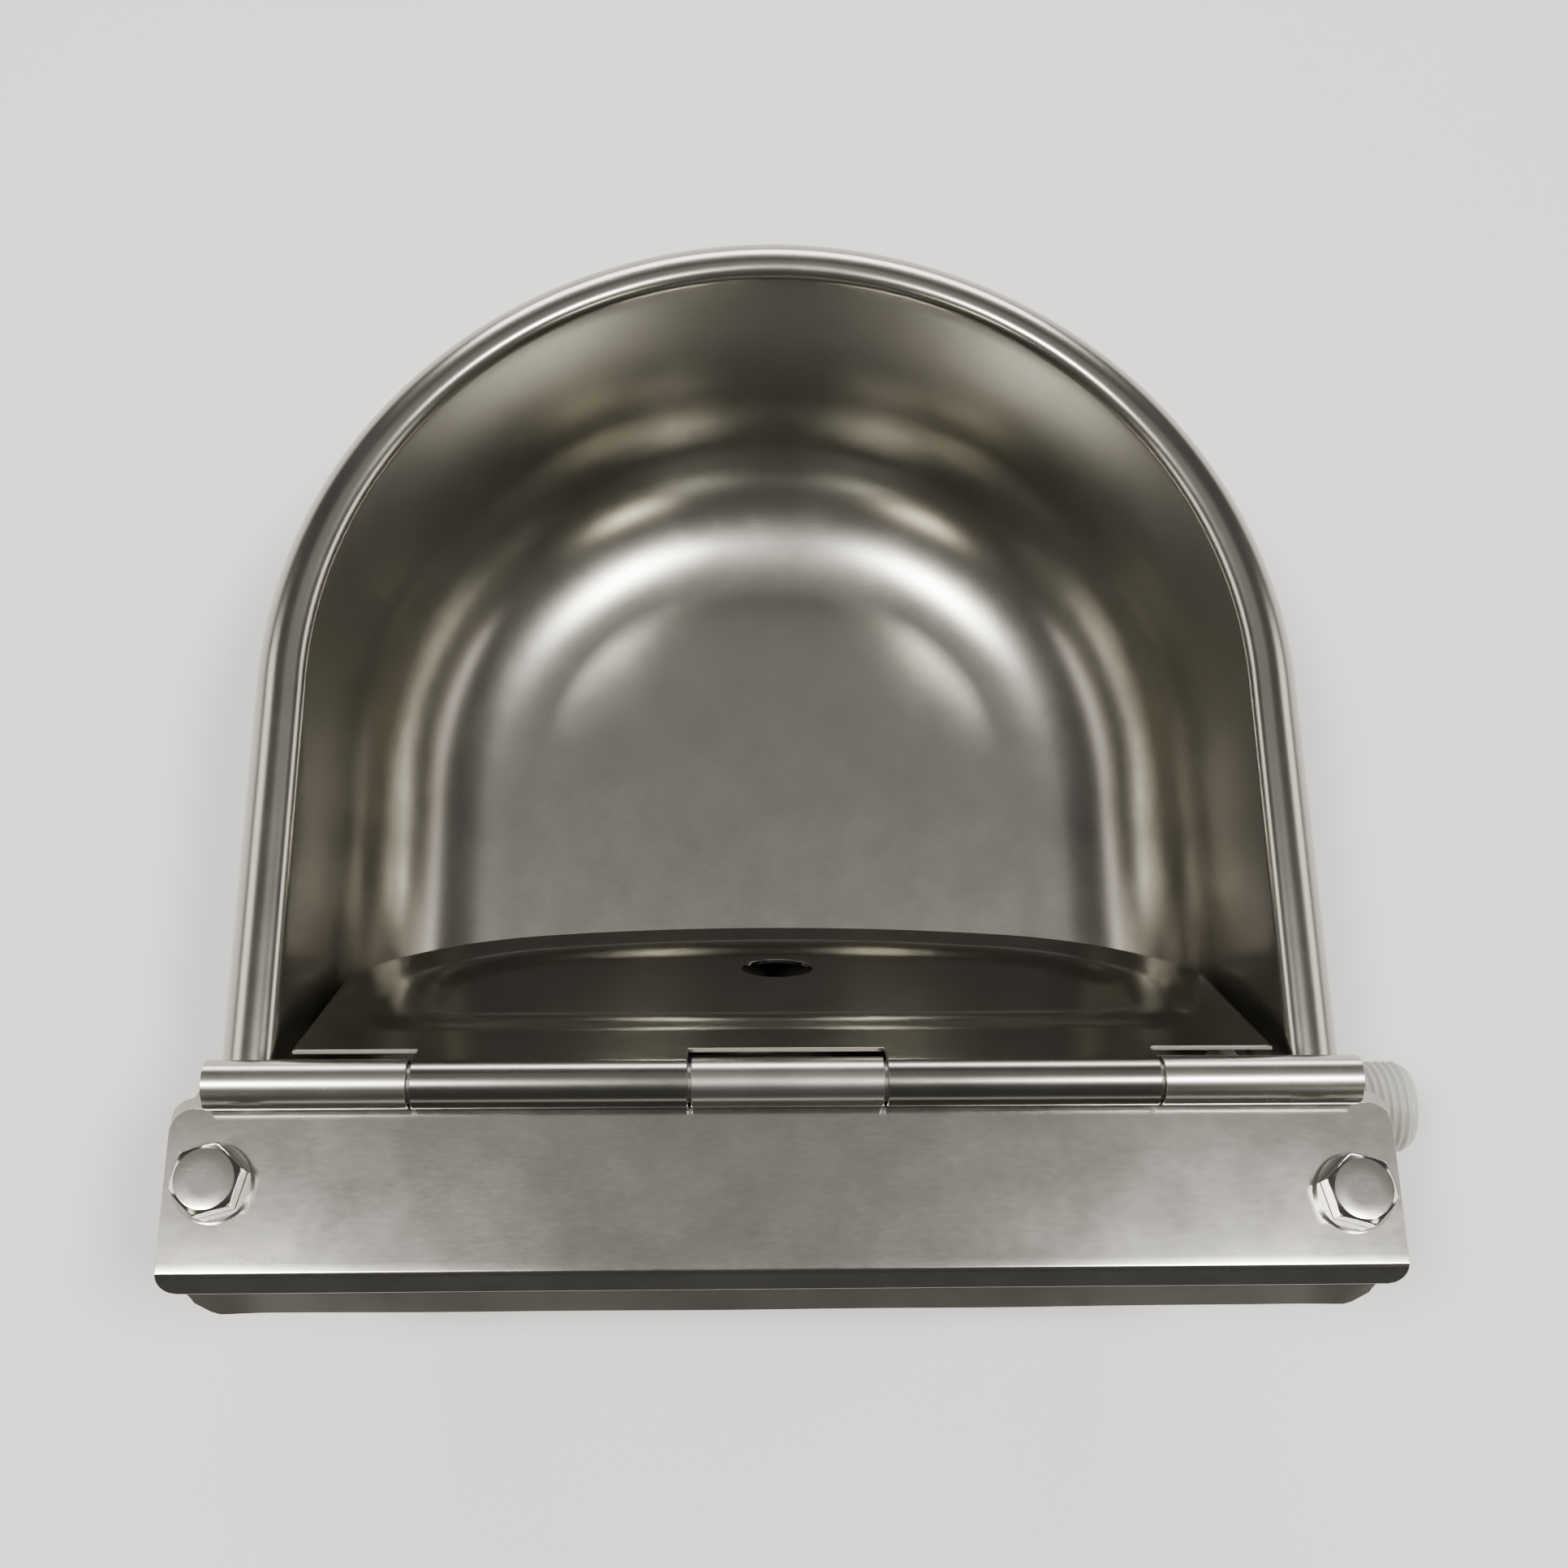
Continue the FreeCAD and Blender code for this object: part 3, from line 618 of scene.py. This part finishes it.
def build_flap():
    bm = bmesh.new()
    face = BARREL_R - SHEET
    xs = columns(ends(FLAP_KNUCKLES) + [-FLAP_X, FLAP_X, -FLAP_WINDOW, 0.0, FLAP_WINDOW], 1.25)
    low = arc_through((FLAP_X, 68.3), (91.0, 86.5), (57.5, 108.1), 60)
    low += arc_through((57.5, 108.1), (0, 115.8), (-57.5, 108.1), 80)[1:41]

    def foot(x):
        x = abs(x)
        for (ax, ay), (bx, by) in zip(low[:-1], low[1:]):
            if bx <= x <= ax:
                return ay + (by - ay) * (ax - x) / (ax - bx) if ax > bx else ay
        return low[-1][1]
    n_rows = 96
    cols = []
    for x in xs:
        f = foot(x)
        cols.append([(x, mix(FLAP_TOP, f, j / n_rows)) for j in range(n_rows + 1)])
    grid = []
    for j in range(n_rows + 1):
        grid.append([bm.verts.new((c[j][0], face + bead_height(*c[j]), -c[j][1]))
                     for c in cols])
    # quads, leaving a window that is filled by rings round the hole
    i0, i1 = xs.index(-FLAP_WINDOW), xs.index(FLAP_WINDOW)
    j0 = min(range(n_rows), key=lambda j: abs(cols[i0][j][1] - (FLAP_HOLE_S - FLAP_WINDOW)))
    j1 = min(range(n_rows), key=lambda j: abs(cols[i0][j][1] - (FLAP_HOLE_S + FLAP_WINDOW)))
    for j in range(n_rows):
        for i in range(len(xs) - 1):
            if i0 <= i < i1 and j0 <= j < j1:
                continue
            bm.faces.new([grid[j][i], grid[j][i + 1], grid[j + 1][i + 1], grid[j + 1][i]])
    loop = [grid[j0][i] for i in range(i0, i1)] + [grid[j][i1] for j in range(j0, j1)]
    loop += [grid[j1][i] for i in range(i1, i0, -1)] + [grid[j][i0] for j in range(j1, j0, -1)]
    rings = [loop]
    for t in (0.3, 0.6, 0.85, 1.0):
        row = []
        for v in loop:
            x, s = v.co.x, -v.co.z
            a = math.atan2(s - FLAP_HOLE_S, x)
            cx, cs = FLAP_HOLE_R * math.cos(a), FLAP_HOLE_S + FLAP_HOLE_R * math.sin(a)
            row.append(bm.verts.new((mix(x, cx, t), face, -mix(s, cs, t))))
        rings.append(row)
    grid_faces(bm, rings, closed=True)
    inner = set(v for j in range(j0 + 1, j1) for v in grid[j][i0 + 1:i1])
    bmesh.ops.delete(bm, geom=list(inner), context="VERTS")
    # strips up to the curled knuckles
    section = [(face, -s) for s in span(FLAP_TOP, 0, 6)[1:]] + curl_path(0, 0, 0)
    for x0, x1 in FLAP_KNUCKLES:
        grid_faces(bm, list(reversed(sweep(bm, grid[0], x0, x1, section))))
    look_towards(bm, (30, face, -60), (0, -1, 0))
    thicken(bm, SHEET)
    lean = Matrix.Rotation(math.radians(FLAP_LEAN), 4, "X")
    hung = Matrix.Translation((0, HINGE_Y, HINGE_Z)) @ lean
    bmesh.ops.transform(bm, matrix=hung, verts=bm.verts)
    finish_mesh("baffle_sheet", bm, M_FLAP_PAINTED_SHADE, "flap", "baffle_flap", bevel=0.14)


# ---------------------------------------------------------------- threads and bolts
def thread_radius(r_out, depth, pitch, axial, angle):
    """Rounded thread form on a helix."""
    p = (axial / pitch - angle / (2 * math.pi)) % 1.0
    tri = 1 - abs(2 * p - 1)
    return r_out - depth * (1 - smooth(0.5 + (tri - 0.5) * 1.25))


def threaded(bm, a0, a1, r_out, depth, pitch, place, lead):
    """Rows of a threaded surface that runs out over the lead at its far end."""
    rows = []
    for a in span(a0, a1, int((a1 - a0) / pitch * 10)):
        limit = r_out - (1 - min(1.0, (a1 - a) / lead)) * depth
        rows.append(ring(bm, place, a, lambda ang: min(thread_radius(r_out, depth, pitch, a, ang),
                                                       limit)))
    return rows


def hex_radius(af, ang):
    """Distance from the middle of a hexagon to its edge at an angle."""
    k = (ang + math.pi / 6) % (math.pi / 3) - math.pi / 6
    return af / 2 / math.cos(k)


def build_bolts():
    base = PLATE_TOP + WASHER_H
    # head levels: (height, is it hexagonal, largest radius): washer face, hexagon, chamfer, top
    levels = [(0.0, False, 6.0), (0.02, False, 6.3), (0.35, False, 6.35)]
    levels += [(h, True, 9.0) for h in (0.36, 0.5, 2.0, 4.0)]
    levels += [(4.1 + 0.075 * k, True, 7.6 - 0.15 * k) for k in range(1, 11)]
    levels += [(4.9, False, 6.0), (4.92, False, 5.8), (4.92, False, 3.0)]
    for name, (x, y, turn) in zip(("bolt_left", "bolt_right"), BOLTS):
        bm = bmesh.new()
        first_corner = math.radians(turn + 30)

        def up(a, u, v):
            return (x + u, y + v, a)

        def down(a, u, v):
            return (x + u, y + v, -a)
        head = []
        for h, hexagonal, cap in levels:
            def radius(ang):
                return min(hex_radius(HEAD_AF, ang - first_corner), cap) if hexagonal else cap
            head.append(ring(bm, up, base + h * HEAD_STRETCH, radius))
        grid_faces(bm, head, closed=True)
        bm.faces.new(head[-1])
        # shank: plain neck through the plates, then thread to the tip
        shank = [ring(bm, up, z, lambda ang: BOLT_NECK_R) for z in (base, BOLT_NECK_Z)]
        shank += threaded(bm, -86.9, -74.0, 3.98, 0.62, 1.25, down, lead=1.2)
        grid_faces(bm, [head[0]] + shank, closed=True)
        bm.faces.new(list(reversed(shank[-1])))
        bmesh.ops.recalc_face_normals(bm, faces=bm.faces)
        finish_mesh(name, bm, M_BRIGHT, "shell", "cover_bolts", sharp=20.0)


def build_valve():
    """Moulded valve body: threaded tail, flange, barrel, cheeks and stop."""
    bm = bmesh.new()

    def place(a, u, v):
        return (a, VALVE_Y + u, VALVE_Z + v)
    # outside and inside of the turned body in one closed loop
    outer = [(66.0, 8.4), (66.0, 11.6), (66.4, 12.0), (99.1, 12.0), (99.5, 12.4), (99.5, 13.6),
             (99.9, 14.0), (103.1, 14.0), (103.5, 13.6), (103.5, 10.3), (116.4, 10.3)]
    rows = lathe(bm, outer, place)
    tail = threaded(bm, 116.6, 142.6, 10.45, 1.05, 1.814, place, lead=1.8)
    inner = lathe(bm, [(143.3, 9.0), (143.5, 8.6), (143.5, 6.5), (143.2, 6.0), (92.0, 6.0),
                       (92.0, 7.0), (87.0, 7.0), (87.0, 8.35), (66.3, 8.35)], place)
    grid_faces(bm, [rows[-1]] + tail + [inner[0]], closed=True)
    grid_faces(bm, [inner[-1], rows[0]], closed=True)
    bmesh.ops.recalc_face_normals(bm, faces=bm.faces)
    obj = finish_mesh("valve_moulding", bm, M_WHITE, "shell", "valve_body",
                      sharp=35.0)
    # outlets drilled round the seat
    cut = bmesh.new()
    across = Matrix.Rotation(math.pi / 2, 4, "X")
    for rot, depth, drop in ((across, 30, 0), (Matrix.Identity(4), 14, 7)):
        at = Matrix.Translation((83.2, VALVE_Y, VALVE_Z - drop))
        bmesh.ops.create_cone(cut, cap_ends=True, segments=32, radius1=OUTLET_R,
                              radius2=OUTLET_R, depth=depth, matrix=at @ rot)
    cut_away(obj, cut)

    # cheeks that carry the lever and the web that stops the arm
    bm = bmesh.new()
    # boxes: x from, to, y from, to about the valve's axis, z from, to
    boxes = [(50.0, 66.0, -8.5, -5.0, 38.0, 50.0), (50.0, 66.0, 5.0, 8.5, 38.0, 50.0),
             (50.4, 54.0, -5.2, 5.2, 38.2, 40.7), (65.6, 70.0, -8.4, -5.0, 38.4, 45.0),
             (65.6, 70.0, 5.0, 8.4, 38.4, 45.0)]
    for x0, x1, y0, y1, z0, z1 in boxes:
        g = bmesh.ops.create_cube(bm, size=1.0)
        for v in g["verts"]:
            v.co = Vector((mix(x0, x1, v.co.x + 0.5), VALVE_Y + mix(y0, y1, v.co.y + 0.5),
                           mix(z0, z1, v.co.z + 0.5)))
    finish_mesh("valve_cheeks", bm, M_WHITE, "shell", "valve_body", bevel=0.35)


build_bowl()
build_plate()
build_flap()
build_bolts()
build_valve()

CARRIED = {
    "hinge_pin": M_PIN_PAINTED_SHADE, "cover_washers": M_BRIGHT, "lower_washers": M_BRIGHT,
    "cover_nuts": M_BRIGHT, "inlet_gasket": M_RUBBER, "inlet_washer": M_BRIGHT,
    "inlet_lock_nut": M_WHITE, "valve_seat": M_BRASS, "seat_o_ring": M_RUBBER,
    "valve_piston": M_PISTON, "piston_seal": M_RUBBER, "arm_pivot_pin": M_BRIGHT,
    "pivot_clips": M_BRIGHT, "float_arm": M_BRASS, "float_body": M_FOAM,
    "float_washers": M_BRIGHT, "float_nuts": M_BRASS,
}
for name, mat in CARRIED.items():
    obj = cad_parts[name]
    if not obj.material_slots:
        obj.data.materials.append(mat)
    for slot in obj.material_slots:
        slot.material = mat

# ---------------------------------------------------------------- stage
# Metres from here on.
def build_floor(half):
    mesh = bpy.data.meshes.new("floor")
    corners = [(-half, -half, 0), (half, -half, 0), (half, half, 0), (-half, half, 0)]
    mesh.from_pydata(corners, [], [(0, 1, 2, 3)])
    floor = bpy.data.objects.new("floor", mesh)
    bpy.context.scene.collection.objects.link(floor)
    floor.location.z = -0.0005
    mat, nt, bsdf = new_material("floor_pale")
    grain = node(nt, "ShaderNodeTexNoise", Scale=40.0, Detail=3.0)
    tone = ramp(nt, grain.outputs["Fac"], [(0.3, (0.90, 0.90, 0.90)), (0.7, (0.93, 0.93, 0.93))])
    nt.links.new(tone.outputs["Color"], bsdf.inputs["Base Color"])
    bsdf.inputs["Roughness"].default_value = 0.9
    bsdf.inputs["Specular IOR Level"].default_value = 0.1
    mesh.materials.append(mat)


def build_world(colour, strength):
    world = bpy.data.worlds.new("studio")
    bpy.context.scene.world = world
    world.use_nodes = True
    sky = world.node_tree.nodes["Background"]
    sky.inputs["Color"].default_value = (*colour, 1.0)
    sky.inputs["Strength"].default_value = strength


def area(name, at, size, power, colour=(1.0, 0.97, 0.92), to=(0, 0, 0.05)):
    """A rectangular soft light that looks at a point."""
    light = bpy.data.lights.new(name, "AREA")
    light.shape = "RECTANGLE"
    light.size, light.size_y = size
    light.energy = power
    light.color = colour
    obj = bpy.data.objects.new(name, light)
    bpy.context.scene.collection.objects.link(obj)
    obj.location = at
    aim = Vector(to) - Vector(at)
    obj.rotation_euler = aim.to_track_quat("-Z", "Y").to_euler()


def build_camera(at, tilt, yaw, lens):
    """Camera that looks down, tilted forward and turned a little to the right."""
    cam = bpy.data.cameras.new("camera")
    cam.sensor_width = 36.0
    cam.lens = lens
    cam.clip_start = 0.01
    obj = bpy.data.objects.new("camera", cam)
    bpy.context.scene.collection.objects.link(obj)
    obj.location = at
    forward = Matrix.Rotation(math.radians(tilt), 3, "X")
    aside = Matrix.Rotation(math.radians(-yaw), 3, "Y")
    obj.rotation_euler = (forward @ aside).to_euler()
    bpy.context.scene.camera = obj


build_floor(3.0)
build_world((1.0, 0.985, 0.95), 0.09)
for name, side in (("left", -1), ("right", 1)):
    area("key_" + name, (0.50 * side, -0.27, 1.5), (0.32, 0.22), 20)
    area("side_" + name, (2.4 * side, 0.3, 0.9), (1.8, 0.8), 15, (1.0, 0.93, 0.86))
    area("back_" + name, (1.5 * side, -2.1, 1.5), (0.5, 0.3), 4.5, (1.0, 0.93, 0.72))
area("overhead", (0.0, 0.5, 1.7), (1.9, 1.3), 1.9, to=(0, 0.3, 0.05))
area("front", (0.0, 2.6, 0.9), (2.4, 0.7), 70)
build_camera((-0.01308, -0.16386, 0.47915), tilt=19.805, yaw=1.871, lens=42.8516)
